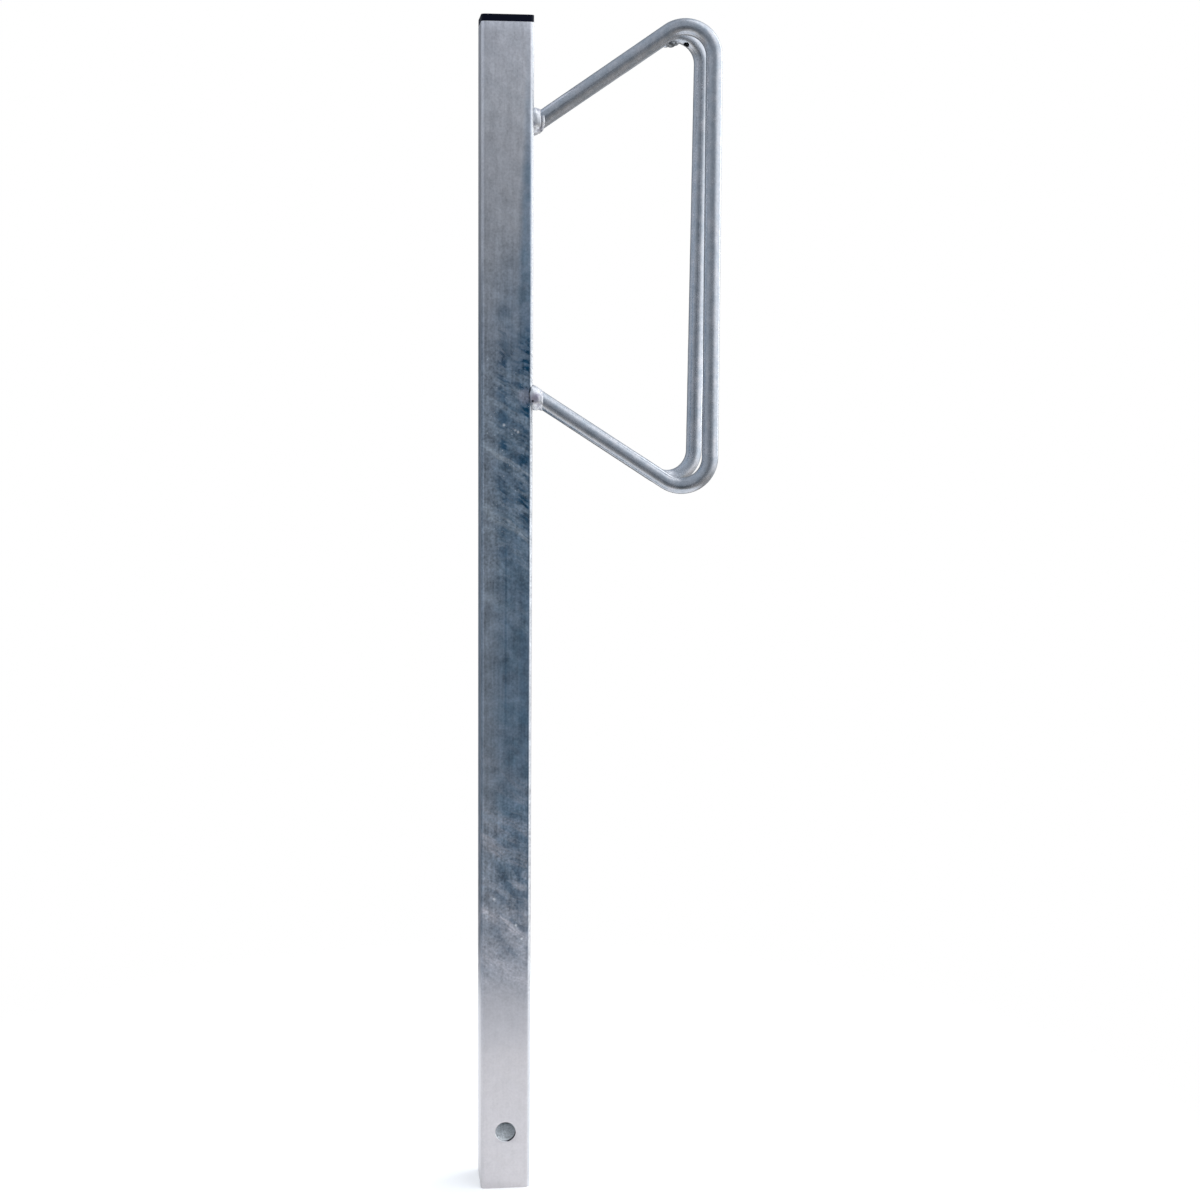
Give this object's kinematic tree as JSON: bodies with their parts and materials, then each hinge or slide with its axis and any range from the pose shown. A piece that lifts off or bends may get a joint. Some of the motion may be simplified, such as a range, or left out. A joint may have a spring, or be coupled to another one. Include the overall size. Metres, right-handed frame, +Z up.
{
  "type": "bike stand",
  "caption": "Square galvanised post for concreting in, with flared tube hoops welded to one face to hold a bicycle's front wheel, and a push-in end cap.",
  "frame": {"origin": "centre of the post's foot, on the post's axis", "axes": "+Z up along the post, +X from the post out to the wheel hoops, Y along the anchor hole"},
  "size_m": [0.227, 0.1132, 1.1565],
  "materials": {
    "zinc": "hot-dip galvanised, satin",
    "weld": "weld bead under zinc",
    "cap": "moulded black"
  },
  "bodies": {
    "stand": {"post": "zinc", "left_hoop": "zinc", "right_hoop": "zinc", "left_upper_weld": "weld", "left_lower_weld": "weld", "right_upper_weld": "weld", "right_lower_weld": "weld"},
    "cap": {"end_cap": "cap"}
  },
  "joints": [
    {"name": "cap_pull", "type": "slide", "parent": "stand", "child": "cap", "axis": [0, 0, 1], "range_m": [0, 0.03]}
  ]
}
